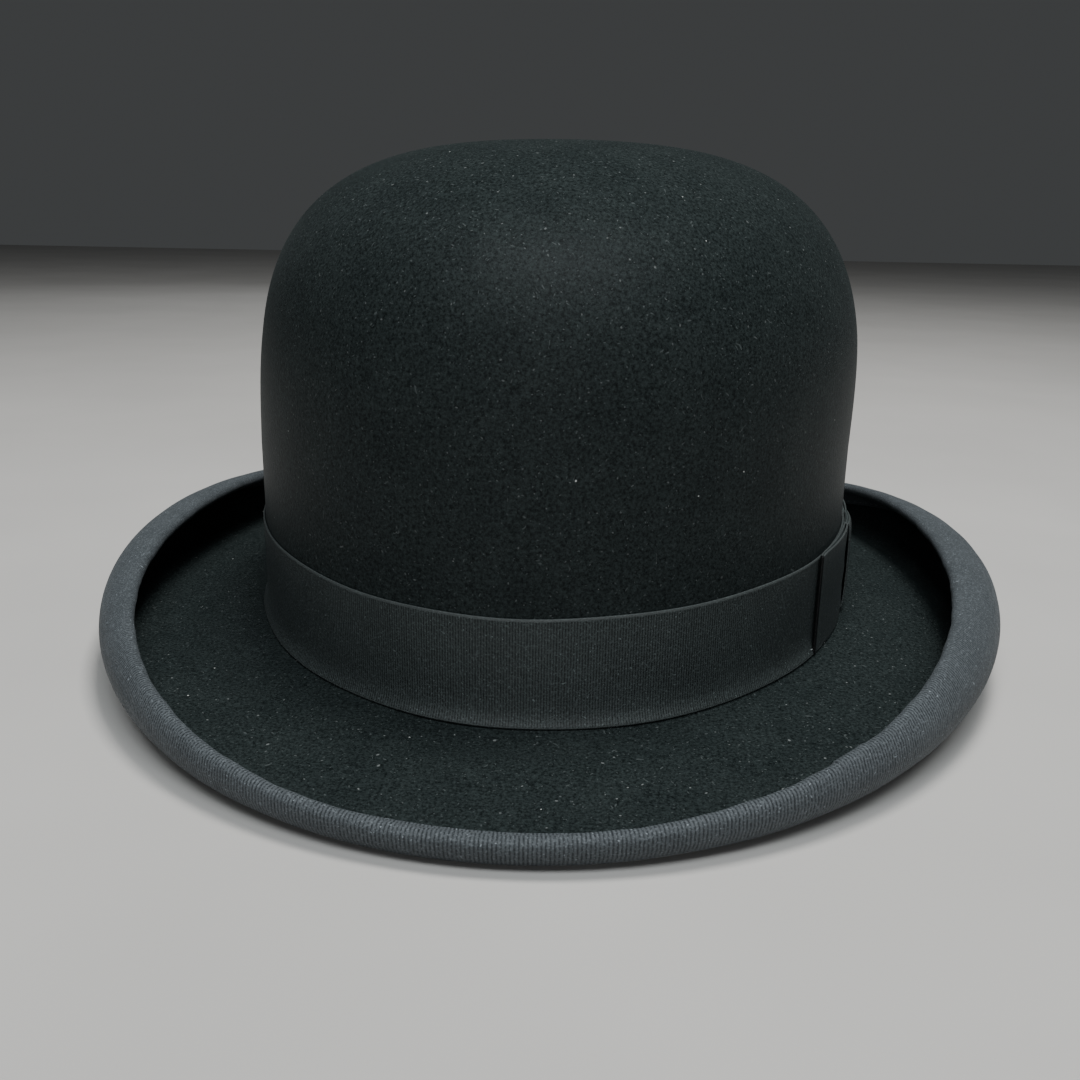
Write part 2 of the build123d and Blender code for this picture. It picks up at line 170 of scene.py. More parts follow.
# ---------------------------------------------------------------- mesh making


def make_mesh(name, points, faces, uv=None):
    """Mesh object from millimetre points, with its faces turned outwards."""
    points = np.asarray(points, float).reshape(-1, 3)
    faces = [np.asarray(f, int) for f in faces]
    volume = 0.0
    for group in faces:
        a = points[group[:, 0]]
        for k in range(1, group.shape[1] - 1):
            b, c = points[group[:, k]], points[group[:, k + 1]]
            volume += float((a * np.cross(b, c)).sum())
    if volume < 0:
        faces = [f[:, ::-1] for f in faces]
        uv = None if uv is None else [u[:, ::-1] for u in uv]
    mesh = bpy.data.meshes.new(name)
    mesh.from_pydata((points * MM).tolist(), [], [row for f in faces for row in f.tolist()])
    if uv is not None:
        layer = mesh.uv_layers.new(name="cloth")
        layer.data.foreach_set("uv", np.concatenate([u.reshape(-1) for u in uv]) * MM)
    mesh.shade_smooth()
    mesh.validate()
    piece = bpy.data.objects.new(name, mesh)
    bpy.context.scene.collection.objects.link(piece)
    return piece


def grid_faces(count_u, count_v, closed_u, closed_v):
    """Quads of a grid of points, and the grid steps of their corners."""
    step_u = np.arange(count_u if closed_u else count_u - 1)
    step_v = np.arange(count_v if closed_v else count_v - 1)
    i, j = [g.reshape(-1) for g in np.meshgrid(step_u, step_v, indexing="ij")]
    corners = [(i, j), (i + 1, j), (i + 1, j + 1), (i, j + 1)]
    faces = np.stack([(a % count_u) * count_v + b % count_v for a, b in corners], axis=1)
    return faces, corners


def end_caps(count_u, count_v):
    """Faces that close the two ends of a grid that is closed round."""
    first = np.arange(count_v)[None, :]
    return np.concatenate([first, (first + (count_u - 1) * count_v)[:, ::-1]])


def grid_uv(corners, along, across):
    """UVs of the quads, from positions along and across that have one more entry where they close."""
    return np.stack([np.stack([along[a], across[b]], axis=-1) for a, b in corners], axis=1)


def surface_normals(points, closed):
    """Unit normals of a grid of points."""
    if closed:
        along = np.roll(points, -1, axis=0) - np.roll(points, 1, axis=0)
    else:
        along = np.gradient(points, axis=0)
    normal = np.cross(along, np.gradient(points, axis=1))
    return normal / np.maximum(np.linalg.norm(normal, axis=-1, keepdims=True), 1e-9)


# Height of the cloth along one rib: the groove, then the two shoulders of the rounded thread
RIB_SHAPE = np.array([-1.0, 0.5, 0.5])


def past_edge(edge, inside, reach):
    """A row of points this far past the edge, straight on from the row inside it."""
    step = edge - inside
    return edge + step / np.linalg.norm(step, axis=-1, keepdims=True) * reach


def cloth_strip(
    name, points, thickness, closed, rib=0.0, pitch=None, face_out=1, selvage=0.0, back_step=3
):
    """Ribbon or strip of cloth about a grid of points, with rounded edges.

    Points run along the strip first and across it second. Ribs of this pitch lie across it. They
    fade out at the woven edges, which stand up by selvage. The back keeps one row in back_step.
    """
    count_u, count_v = points.shape[:2]
    normal = surface_normals(points, closed) * face_out
    across = np.linalg.norm(np.diff(points, axis=1), axis=2).mean(axis=0)
    across = np.concatenate([[0], np.cumsum(across)])
    from_edge = np.minimum(across, across[-1] - across)
    from_edge = np.clip(from_edge / WOVEN_EDGE, 0, 1)
    fade = from_edge if selvage else np.ones(count_v)
    wave = RIB_SHAPE[np.arange(count_u) % len(RIB_SHAPE)]
    wave = (wave * np.repeat(noise.uniform(0.7, 1.25, count_u), len(RIB_SHAPE))[:count_u])[:, None]
    lift = rib * wave * fade + selvage * (1 - from_edge)
    front = points + normal * (thickness / 2 + lift)[..., None]
    kept = sorted({*range(0, count_v, back_step), count_v - 1}, reverse=True)
    back = (points - normal * thickness / 2)[:, kept]
    far_edge = past_edge(points[:, -1], points[:, -2], thickness / 2)
    near_edge = past_edge(points[:, 0], points[:, 1], thickness / 2)
    ring = np.concatenate([front, far_edge[:, None], back, near_edge[:, None]], axis=1)
    size = ring.shape[1]
    faces, corners = grid_faces(count_u, size, closed, True)
    if pitch is None:
        step = np.linalg.norm(np.diff(points[:, count_v // 2], axis=0), axis=1)
        along = np.concatenate([[0], np.cumsum(step), [step.sum() + step.mean()]])
    else:
        along = np.arange(count_u + 1) * pitch / len(RIB_SHAPE)
    round_it = np.concatenate([across, [across[-1]], across[kept], [0], [0]])
    uvs = [grid_uv(corners, along, round_it)]
    groups = [faces]
    if not closed:
        groups.append(end_caps(count_u, size))
        uvs.append(np.zeros((2, size, 2)))
    return make_mesh(name, ring, groups, uvs)


def tube(path, radius, closed=True, sides=10, twist=0.0, groove=0.0):
    """Points and faces of a round cord along a path; twist and groove lay three strands round it."""
    path = np.asarray(path, float)
    count = len(path)
    if closed:
        ahead = np.roll(path, -1, axis=0) - np.roll(path, 1, axis=0)
    else:
        ahead = np.gradient(path, axis=0)
    ahead /= np.linalg.norm(ahead, axis=1, keepdims=True)
    side = np.cross(ahead, [0, 0, 1.0])
    side /= np.linalg.norm(side, axis=1, keepdims=True)
    up = np.cross(side, ahead)
    turn = np.linspace(0, 2 * math.pi, sides, endpoint=False)[None, :]
    phase = np.arange(count)[:, None] * twist
    size = radius * (1 - groove * (0.5 + 0.5 * np.cos(3 * turn + phase)))
    if not closed:
        # Open ends are drawn in over the last two steps
        from_end = np.minimum(np.arange(count), np.arange(count)[::-1])
        size = size * np.clip(from_end / 2, 0.35, 1)[:, None]
    ring = path[:, None] + size[..., None] * (
        side[:, None] * np.cos(turn)[..., None] + up[:, None] * np.sin(turn)[..., None]
    )
    faces, _ = grid_faces(count, sides, closed, True)
    groups = [faces]
    if not closed:
        groups.append(end_caps(count, sides))
    return ring.reshape(-1, 3), groups


def joined(name, parts):
    """One object from several point-and-face sets."""
    points, faces, start = [], [], 0
    for ring, groups in parts:
        points.append(ring)
        faces.extend(group + start for group in groups)
        start += len(ring)
    return make_mesh(name, np.concatenate(points), faces)


def stitch(start, end, bulge, outward, radius=THREAD):
    """One stitch: a short thread that rises from the cloth, lies on it and goes in again."""
    share = np.linspace(0, 1, 7)[:, None]
    path = start + (end - start) * share + outward * bulge * np.sin(math.pi * share) ** 0.5
    return tube(path, radius, closed=False, sides=6)


def stitch_row(points, outward, length, count, radius=THREAD):
    """Equal stitches along a closed line of points; length is a stitch's share of its step."""
    total = len(points)
    parts = []
    for k in range(count):
        start = int(k * total / count)
        end = int((k + length) * total / count) % total
        parts.append(stitch(points[start], points[end], 1.5 * radius, outward[start], radius))
    return parts


# ---------------------------------------------------------------- materials

CROSS_THREAD = 0.00024  # pitch of the threads across the ribs, in metres


class Nodes:
    """A material under construction: adds nodes and links them by socket name."""

    def __init__(self, name):
        self.material = bpy.data.materials.new(name)
        self.material.use_nodes = True
        self.tree = self.material.node_tree
        self.shader = self.tree.nodes["Principled BSDF"]

    def add(self, kind, inputs=None, **settings):
        node = self.tree.nodes.new(kind)
        for key, value in settings.items():
            setattr(node, key, value)
        for key, value in (inputs or {}).items():
            if isinstance(value, bpy.types.NodeSocket):
                self.tree.links.new(value, node.inputs[key])
            else:
                node.inputs[key].default_value = value
        return node

    def mix(self, factor, a, b):
        """Colour between a and b."""
        node = self.add("ShaderNodeMix", data_type="RGBA")
        # Among the node's sockets, the colours are inputs 6 and 7, and their mix is output 2
        for socket, value in ((node.inputs["Factor"], factor), (node.inputs[6], a), (node.inputs[7], b)):
            if isinstance(value, bpy.types.NodeSocket):
                self.tree.links.new(value, socket)
            else:
                socket.default_value = value
        return node.outputs[2]

    def calc(self, operation, *values):
        """Result of a math node."""
        return self.add("ShaderNodeMath", dict(enumerate(values)), operation=operation).outputs[0]

    def coords(self):
        return self.add("ShaderNodeTexCoord").outputs["Object"]

    def ramp(self, value, low, high):
        """0 below low, 1 above high."""
        node = self.add("ShaderNodeMapRange", {"Value": value, "From Min": low, "From Max": high})
        node.clamp = True
        return node.outputs["Result"]

    def noise(self, coords, scale, detail=2.0, roughness=0.6):
        node = self.add(
            "ShaderNodeTexNoise",
            {"Vector": coords, "Scale": scale, "Detail": detail, "Roughness": roughness},
        )
        return node.outputs["Fac"]

    def lint(self, coords, scale, chosen, size):
        """Scattered short bits of fibre: 1 on them, 0 elsewhere.

        They lie in cells of this scale, one in each cell whose random value is over chosen, and
        their size is a share of a cell's. The noise bends the space that the cells are in.
        """
        drift = self.add("ShaderNodeTexNoise", {"Vector": coords, "Scale": scale / 4}).outputs["Color"]
        bend = self.add("ShaderNodeVectorMath", {0: drift, 1: (0.008,) * 3}, operation="MULTIPLY")
        bent = self.add("ShaderNodeVectorMath", {0: coords, 1: bend.outputs[0]}, operation="ADD")
        cells = self.add(
            "ShaderNodeTexVoronoi", {"Vector": bent.outputs[0], "Scale": scale, "Randomness": 1.0}
        )
        speck = self.ramp(cells.outputs["Distance"], size * 1.6, size)
        pick = self.add("ShaderNodeSeparateColor", {"Color": cells.outputs["Color"]}).outputs["Red"]
        return self.calc("MULTIPLY", speck, self.ramp(pick, chosen, chosen + 0.01))

    def bump(self, height, distance, strength=1.0, below=None):
        inputs = {"Height": height, "Distance": distance, "Strength": strength}
        if below is not None:
            inputs["Normal"] = below
        return self.add("ShaderNodeBump", inputs).outputs["Normal"]

    def set(self, **values):
        names = {
            "color": "Base Color", "rough": "Roughness", "normal": "Normal",
            "sheen": "Sheen Weight", "sheen_rough": "Sheen Roughness", "sheen_tint": "Sheen Tint",
            "specular": "Specular IOR Level",
        }
        for key, value in values.items():
            socket = self.shader.inputs[names[key]]
            if isinstance(value, bpy.types.NodeSocket):
                self.tree.links.new(value, socket)
            else:
                socket.default_value = value
        return self.material


def rgb(red, green, blue):
    return (red, green, blue, 1.0)


def scaled(color, share):
    """The same colour, lighter or darker."""
    return rgb(*(c * share for c in color[:3]))


def felt_material():
    """Short brushed nap: cloudy tone, fine fibres, and a little pale lint."""
    n = Nodes("felt")
    coords = n.coords()
    cloud = n.ramp(n.noise(coords, 70, 4, 0.65), 0.32, 0.68)
    fibre = n.ramp(n.noise(coords, 1400, 5, 0.8), 0.38, 0.64)
    dark = n.mix(cloud, rgb(0.0026, 0.0040, 0.0041), rgb(0.0040, 0.0058, 0.0058))
    lifted = n.mix(cloud, rgb(0.0197, 0.0261, 0.0261), rgb(0.0254, 0.0328, 0.0325))
    tone = n.mix(fibre, dark, lifted)
    # Pale hairs in the nap, and dust that settles where the felt faces up
    hairs = n.lint(coords, 400.0, 0.15, 0.06)
    tone = n.mix(hairs, tone, rgb(0.065, 0.072, 0.072))
    tone = n.mix(n.lint(coords, 720.0, 0.2, 0.11), tone, rgb(0.044, 0.0515, 0.0515))
    facing = n.add("ShaderNodeNewGeometry").outputs["Normal"]
    level = n.add("ShaderNodeSeparateXYZ", {"Vector": facing}).outputs["Z"]
    share = n.ramp(level, -0.6, 1.0)
    dust = n.calc("MULTIPLY", n.lint(coords, 260.0, 0.1, 0.05), share)
    tone = n.mix(dust, tone, rgb(0.11, 0.118, 0.117))
    specks = n.lint(coords, 110.0, 0.6, 0.018)
    tone = n.mix(specks, tone, rgb(0.36, 0.37, 0.36))
    bumps = n.bump(n.noise(coords, 60, 2), 0.0004, 0.25)
    bumps = n.bump(n.noise(coords, 1100, 3, 0.7), 0.00022, 0.55, bumps)
    return n.set(
        color=tone, rough=0.5, normal=bumps, specular=0.085,
        sheen=0.012, sheen_rough=0.5, sheen_tint=rgb(0.74, 0.86, 0.88),
    )


def grosgrain_material(name, pitch, shaded_valley, lit_crest, edge, width, gloss, sheen):
    """Ribbed ribbon: painted shade in the rib grooves and a painted highlight on the rib crests, cross
    threads, worn specks, and plain woven edges painted paler as a highlight.

    Its UVs are lengths along and across the ribbon, in metres.
    """
    n = Nodes(name)
    uv = n.add("ShaderNodeUVMap", uv_map="cloth").outputs["UV"]
    split = n.add("ShaderNodeSeparateXYZ", {"Vector": uv})
    along, across = split.outputs["X"], split.outputs["Y"]
    # Painted light and shade on each rib: 0 in its groove, which takes the dark groove colour as shade,
    # and 1 on its crest, which takes the pale crest colour as a highlight
    rib = n.calc("COSINE", n.calc("MULTIPLY", along, 2 * math.pi / pitch))
    rib = n.ramp(rib, 0.95, -0.6)
    thread = n.calc("SINE", n.calc("MULTIPLY", across, 2 * math.pi / CROSS_THREAD))
    coords = n.coords()
    cloud = n.ramp(n.noise(coords, 70, 3), 0.3, 0.7)
    slub = n.ramp(n.noise(coords, 1500, 2), 0.35, 0.65)
    tone = n.mix(rib, shaded_valley, lit_crest)
    tone = n.mix(n.calc("MULTIPLY", slub, 0.35), tone, lit_crest)
    tone = n.mix(n.calc("MULTIPLY", cloud, 0.22), tone, scaled(shaded_valley, 0.82))
    # Painted highlight: the woven edges get the paler edge colour, standing for the light line along
    # each selvage
    from_middle = n.calc("ABSOLUTE", n.calc("SUBTRACT", across, width / 2))
    selvage = n.ramp(from_middle, width / 2 - 0.0003, width / 2 - 0.0001)
    tone = n.mix(selvage, tone, edge)
    worn = n.ramp(n.noise(coords, 2100, 3, 0.7), 0.5, 0.68)
    tone = n.mix(n.calc("MULTIPLY", worn, 0.6), tone, scaled(lit_crest, 2.1))
    tone = n.mix(n.lint(coords, 560.0, 0.2, 0.075), tone, scaled(lit_crest, 2.6))
    # Painted shade: the mesh marks its sharp folds, where the colour turns near black to stand for the
    # shade in them; elsewhere the attribute is 0
    fold = n.add("ShaderNodeAttribute", attribute_name="fold").outputs["Fac"]
    tone = n.mix(fold, tone, rgb(0.0008, 0.0009, 0.0009))
    bumps = n.bump(thread, 0.00003, 0.5)
    bumps = n.bump(slub, 0.00008, 0.6, bumps)
    return n.set(
        color=tone, rough=0.52, normal=bumps, specular=gloss,
        sheen=sheen, sheen_rough=0.4, sheen_tint=rgb(0.85, 0.93, 1.0),
    )


def thread_material(name, color):
    """Twisted sewing thread."""
    n = Nodes(name)
    coords = n.coords()
    ply = n.ramp(n.noise(coords, 2400, 2), 0.35, 0.65)
    tone = n.mix(ply, color, scaled(color, 1.7))
    return n.set(color=tone, rough=0.6, normal=n.bump(ply, 0.00005, 0.6), sheen=0.2)


def leather_material():
    """Roan leather: fine pebbled grain, creases and slight darkening."""
    n = Nodes("leather")
    coords = n.coords()
    cloud = n.ramp(n.noise(coords, 28, 4), 0.3, 0.7)
    grain = n.add("ShaderNodeTexVoronoi", {"Vector": coords, "Scale": 1100.0}).outputs["Distance"]
    pores = n.ramp(n.noise(coords, 1900, 2), 0.4, 0.75)
    tone = n.mix(cloud, rgb(0.17, 0.07, 0.028), rgb(0.27, 0.125, 0.055))
    tone = n.mix(n.ramp(pores, 0.6, 1.0), tone, rgb(0.1, 0.04, 0.018))
    bumps = n.bump(grain, 0.00012, 0.45)
    bumps = n.bump(n.noise(coords, 160, 3), 0.0005, 0.25, bumps)
    rough = n.ramp(cloud, -1.2, 3.0)  # from 0.29 to 0.52
    return n.set(color=tone, rough=rough, normal=bumps, specular=0.45)


def satin_material(name, shade, light):
    """Satin: a soft gloss with the fine lines of its weave."""
    n = Nodes(name)
    coords = n.coords()
    weave = n.add(
        "ShaderNodeTexWave",
        {"Vector": coords, "Scale": 420.0, "Distortion": 1.5, "Detail": 2.0},
        wave_type="BANDS", bands_direction="DIAGONAL",
    ).outputs["Fac"]
    cloud = n.ramp(n.noise(coords, 40, 3), 0.3, 0.7)
    tone = n.mix(cloud, shade, light)
    rough = n.ramp(cloud, -1.0, 4.0)  # from 0.2 to 0.4
    return n.set(
        color=tone, rough=rough, normal=n.bump(weave, 0.00004, 0.5),
        sheen=0.35, sheen_rough=0.3, specular=0.6,
    )


def tape_material():
    """Plain-woven cotton tape."""
    n = Nodes("tape")
    coords = n.coords()
    weave = n.add("ShaderNodeTexChecker", {"Vector": coords, "Scale": 1600.0}).outputs["Fac"]
    tone = n.mix(weave, rgb(0.2, 0.11, 0.055), rgb(0.3, 0.18, 0.095))
    return n.set(color=tone, rough=0.85, normal=n.bump(weave, 0.00008, 0.6))


def paper_material():
    """Blank paper label."""
    n = Nodes("paper")
    coords = n.coords()
    cloud = n.ramp(n.noise(coords, 300, 4), 0.3, 0.7)
    tone = n.mix(cloud, rgb(0.52, 0.49, 0.41), rgb(0.66, 0.63, 0.55))
    return n.set(color=tone, rough=0.8, normal=n.bump(cloud, 0.00006, 0.5))


def reed_material():
    """Smooth reed with faint streaks."""
    n = Nodes("reed")
    coords = n.coords()
    streaks = n.ramp(n.noise(coords, 700, 2), 0.3, 0.7)
    return n.set(color=n.mix(streaks, rgb(0.2, 0.12, 0.06), rgb(0.32, 0.21, 0.11)), rough=0.45)


def floor_material():
    """Plain pale floor."""
    n = Nodes("pale_floor")
    coords = n.coords()
    cloud = n.ramp(n.noise(coords, 6, 3), 0.3, 0.7)
    tone = n.mix(cloud, rgb(0.38, 0.371, 0.358), rgb(0.415, 0.405, 0.391))
    return n.set(color=tone, rough=0.9, specular=0.1)


FELT_LOOK = felt_material()
# Each ribbon's groove colour is its tone with painted shade, and its crest colour is its tone with a
# painted highlight
BAND_LOOK = grosgrain_material(
    "hatband_ribbon", BAND_PITCH * MM, width=BAND_WIDTH * MM,
    shaded_valley=rgb(0.0045, 0.0058, 0.0057), lit_crest=rgb(0.0375, 0.0455, 0.045),
    edge=rgb(0.042, 0.048, 0.0475), gloss=0.28, sheen=0.015,
)
BINDING_LOOK = grosgrain_material(
    "binding_ribbon", BINDING_PITCH * MM, width=BINDING_WIDTH * MM,
    shaded_valley=rgb(0.014, 0.017, 0.019), lit_crest=rgb(0.066, 0.0745, 0.0805),
    edge=rgb(0.075, 0.085, 0.093), gloss=0.17, sheen=0.03,
)
THREAD_LOOK = thread_material("black_thread", rgb(0.03, 0.034, 0.036))
TAN_THREAD_LOOK = thread_material("tan_thread", rgb(0.3, 0.17, 0.08))


def finish_piece(piece, look, node):
    """Give a piece its material and its body, and hide the CAD node that it stands for."""
    piece.data.materials.append(look)
    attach(piece, "root")
    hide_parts(node)


# ---------------------------------------------------------------- camera, light and floor

CAMERA_AT = (0.0275, -0.3240, 0.1173)
CAMERA_FORWARD = (-0.0944, 0.9529, -0.2883)
CAMERA_ROLL = 0.91  # degrees
CAMERA_LENS = 36.07


def make_camera():
    """Camera that sees the hat from the front, a little above it and to its left."""
    data = bpy.data.cameras.new("camera")
    camera = bpy.data.objects.new("camera", data)
    bpy.context.scene.collection.objects.link(camera)
    forward = Vector(CAMERA_FORWARD).normalized()
    roll = math.radians(CAMERA_ROLL)
    level = forward.cross(Vector((0, 0, 1))).normalized()
    upright = level.cross(forward)
    right = level * math.cos(roll) + upright * math.sin(roll)
    up = upright * math.cos(roll) - level * math.sin(roll)
    turned = Matrix((right, up, -forward)).transposed().to_4x4()
    camera.matrix_world = Matrix.Translation(CAMERA_AT) @ turned
    data.sensor_width = 36.0
    data.lens = CAMERA_LENS
    data.clip_start = 0.01
    data.clip_end = 20.0
    bpy.context.scene.camera = camera


def make_light(name, place_at, target, size, power, color, glossy=True):
    """Soft light that faces its target; it may be left out of reflections."""
    data = bpy.data.lights.new(name, "AREA")
    data.shape = "RECTANGLE"
    data.size, data.size_y = size
    data.energy = power
    data.color = color
    light = bpy.data.objects.new(name, data)
    bpy.context.scene.collection.objects.link(light)
    light.visible_glossy = glossy
    light.location = place_at
    light.rotation_mode = "QUATERNION"
    light.rotation_quaternion = (Vector(place_at) - Vector(target)).to_track_quat("Z", "Y")


def make_stage():
    """Pale floor and a dim room."""
    half = 3.0
    mesh = bpy.data.meshes.new("floor")
    mesh.from_pydata(
        [(-half, -half, 0), (half, -half, 0), (half, half, 0), (-half, half, 0)], [], [(0, 1, 2, 3)]
    )
    floor = bpy.data.objects.new("floor", mesh)
    bpy.context.scene.collection.objects.link(floor)
    mesh.materials.append(floor_material())
    world = bpy.data.worlds.new("room")
    bpy.context.scene.world = world
    world.use_nodes = True
    background = world.node_tree.nodes["Background"]
    background.inputs["Color"].default_value = (0.86, 0.9, 0.92, 1)
    background.inputs["Strength"].default_value = 0.06


make_camera()
make_stage()
make_light("key", (0.17, 0.08, 1.25), (0, 0, 0.08), (0.35, 0.35), 17, (1.0, 0.99, 0.97), glossy=False)
make_light("front", (0.1, -0.62, 1.08), (0, 0, 0.1), (0.9, 0.4), 13.5, (0.92, 0.97, 1.0))
make_light("low_front", (0.0, -1.5, 0.45), (0, 0, 0.08), (0.5, 0.4), 3.5, (0.95, 0.98, 1.0))
make_light("back", (-0.4, 1.3, 0.6), (0, 0, 0.06), (0.6, 0.5), 1.2, (0.95, 0.98, 1.0), glossy=False)


# ---------------------------------------------------------------- felt body


def make_felt():
    """Crown and brim as one closed skin, from the crown's top outside, round the brim, to its inside."""
    turns, _ = even_turns(BRIM_X, BRIM_Y, 400)
    count = len(turns)
    edge = curl(turns)[2]
    skin = RIBBON + RIBBON_GAP
    rise = np.linspace(math.pi / 2, 0, 60)

    def dome(half_x, half_y, top, bend):
        across = np.maximum(np.cos(bend), 0) ** (2 / DOME_PLAN)
        height = DOME_FOOT + (top - DOME_FOOT) * np.sin(bend) ** (2 / DOME_RISE)
        grid = np.empty((count, len(bend), 3))
        grid[..., 0] = half_x * across * np.cos(turns)[:, None]
        grid[..., 1] = half_y * across * np.sin(turns)[:, None]
        grid[..., 2] = height
        return grid

    def wall(half_x, half_y, low, high, steps):
        share = np.linspace(0, 1, steps)[None, :]
        return place(turns, half_x, half_y, 0, high + (low - high) * share)

    def fillet(half_x, half_y, size, centre_out, centre_up, bend):
        return place(
            turns, half_x, half_y, centre_out - size * np.cos(bend), centre_up - size * np.sin(bend)
        )

    top = headline(turns)
    bends = np.linspace(0, math.pi / 2, 8)[None, :]
    foot_top = on_curl(turns, skin + FELT, -math.pi / 2)
    foot_under = on_curl(turns, skin, -math.pi / 2)
    outer_break = fillet(WALL_X, WALL_Y, BREAK, BREAK, top + BREAK, bends)
    inner_break = fillet(WALL_X, WALL_Y, BREAK + FELT, BREAK, top + BREAK, bends[:, ::-1])

    def between(a, b, steps):
        share = np.linspace(0, 1, steps + 2)[1:-1][None, :, None]
        return a[:, None] + (b - a)[:, None] * share

    arc = np.linspace(0, 1, 16)[None, :]
    inner_arc = on_curl(turns, skin + FELT, -math.pi / 2 + (edge + math.pi / 2) * arc)
    outer_arc = on_curl(turns, skin, edge - (edge + math.pi / 2) * arc)
    cap = round_edge(turns, skin + FELT / 2, FELT / 2)
    profile = np.concatenate(
        [
            dome(WALL_X, WALL_Y, CROWN_TOP, rise[1:]),
            wall(WALL_X, WALL_Y, top + BREAK, DOME_FOOT, 14)[:, 1:-1],
            outer_break,
            between(outer_break[:, -1], foot_top[:, 0], 14),
            inner_arc,
            cap,
            outer_arc,
            between(foot_under[:, 0], inner_break[:, 0], 14),
            inner_break,
            wall(WALL_X - FELT, WALL_Y - FELT, DOME_FOOT, top + BREAK, 12)[:, 1:-1],
            dome(WALL_X - FELT, WALL_Y - FELT, CROWN_TOP - FELT, rise[::-1][:-1]),
        ],
        axis=1,
    )
    rows = profile.shape[1]
    # A hand-blocked surface is never quite even
    waves = 0.12 * np.sin(3 * turns + 0.7) + 0.08 * np.sin(5 * turns + 2.1) + 0.05 * np.sin(9 * turns)
    height_share = np.clip((profile[..., 2] - DOME_FOOT) / (CROWN_TOP - DOME_FOOT), 0, 1)
    swell = 1 + (waves[:, None] * np.sin(math.pi * height_share)) / WALL_X
    profile[..., :2] *= swell[..., None]
    poles = np.array([[0, 0, CROWN_TOP], [0, 0, CROWN_TOP - FELT]])
    points = lean(np.concatenate([profile.reshape(-1, 3), poles]))
    faces, _ = grid_faces(count, rows, True, False)
    i = np.arange(count)
    outer_cap = np.stack([np.full(count, count * rows), (i + 1) % count * rows, i * rows], axis=1)
    inner_cap = np.stack(
        [np.full(count, count * rows + 1), i * rows + rows - 1, (i + 1) % count * rows + rows - 1],
        axis=1,
    )
    piece = make_mesh("felt", points, [faces, outer_cap, inner_cap])
    finish_piece(piece, FELT_LOOK, "felt_body")


# ---------------------------------------------------------------- ribbons on the felt

OUTER_ROW, INNER_ROW = 0.3, -1.5  # the thread rows, from the edges of their flaps


def make_binding():
    """Grosgrain folded round the brim's edge."""
    length = even_turns(BRIM_X, BRIM_Y, 4)[1]
    ribs = round(length / BINDING_PITCH)
    turns, _ = even_turns(BRIM_X, BRIM_Y, ribs * len(RIB_SHAPE))
    half = RIBBON / 2
    wobble = (0.25 * np.sin(7 * turns + 0.4) + 0.15 * np.sin(17 * turns))[:, None]
    outer_share = np.array([1, 0.965, 0.85, 0.7, 0.55, 0.41, 0.27, 0.13, 0.0])
    inner_share = np.array([0, 0.4, 0.8, 0.93, 1.0])
    outside = along_flap(turns, half, (OUTER_FLAP + wobble) * outer_share)
    inside = along_flap(turns, 2 * EDGE_WRAP - half, (INNER_FLAP + wobble * 0.5) * inner_share)
    # The ribbon is drawn unevenly over the edge, and its ends lap where it is joined
    from_join = np.abs(np.degrees(turns) - (360 + JOIN_ANGLE)) - JOIN_SPAN / 2
    lap = JOIN_LAP * np.clip(0.5 - from_join / 0.3, 0, 1)
    uneven = 0.07 * np.sin(31 * turns + 0.8) + 0.06 * np.sin(53 * turns) + 0.05 * np.sin(97 * turns + 2)
    wrap = EDGE_WRAP - half + (lap + uneven)[:, None] * np.sin(EDGE_BENDS)
    cap = round_edge(turns, EDGE_WRAP, wrap)[:, ::-1]
    points = np.concatenate([outside, cap, inside], axis=1)
    piece = cloth_strip("binding", points, RIBBON, True, rib=0.07, pitch=BINDING_PITCH, selvage=0.05)
    finish_piece(piece, BINDING_LOOK, "brim_binding")


def make_binding_stitches():
    """A row beside the outer flap's edge, and one on the inner flap."""
    turns, _ = even_turns(BRIM_X, BRIM_Y, 1440)
    parts = []
    rows = ((RIBBON / 2, OUTER_FLAP + OUTER_ROW), (2 * EDGE_WRAP, INNER_FLAP + INNER_ROW))
    for depth, run in rows:
        line = along_flap(turns, depth, np.full((len(turns), 1), run))[:, 0]
        under = along_flap(turns, EDGE_WRAP, np.full((len(turns), 1), run))[:, 0]
        outward = line - under
        outward /= np.linalg.norm(outward, axis=1, keepdims=True)
        parts += stitch_row(line, outward, 0.6, 240, 0.13)
    finish_piece(joined("binding_threads", parts), THREAD_LOOK, "binding_stitching")


def make_hatband():
    """Grosgrain round the crown's foot; its lower edge turns out over the break."""
    length = even_turns(WALL_X, WALL_Y, 4)[1]
    ribs = round(length / BAND_PITCH)
    turns, _ = even_turns(WALL_X, WALL_Y, ribs * len(RIB_SHAPE))
    wobble = 0.18 * np.sin(5 * turns + 1.0) + 0.1 * np.sin(13 * turns)
    foot = headline(turns) + BAND_LIFT
    up = np.array([0, 0.5, 1.2, 2.2, 3.6, 7, 11, 15, 19, 22.5, 24.6, 25.3, BAND_WIDTH])
    # The lowest few millimetres turn out over the break
    flare = 1.3 * np.clip(1 - up / 4.2, 0, 1) ** 1.7
    out = RIBBON_GAP + RIBBON / 2 + flare[None, :] * (1 + 0.12 * np.sin(11 * turns + 2)[:, None])
    top_share = (up / BAND_WIDTH)[None, :]
    points = place(turns, WALL_X, WALL_Y, out, foot + up[None, :] + wobble[:, None] * top_share)
    piece = cloth_strip("hatband_ribbon", points, RIBBON, True, rib=0.05, pitch=BAND_PITCH, selvage=0.06)
    finish_piece(piece, BAND_LOOK, "hatband")


# ---------------------------------------------------------------- bow, on the wearer's left

BOW_FRONT, BOW_BACK = (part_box("bow_loops")[0][1] / MM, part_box("bow_loops")[1][1] / MM)
BOW_MIDDLE = (BOW_FRONT + BOW_BACK) / 2


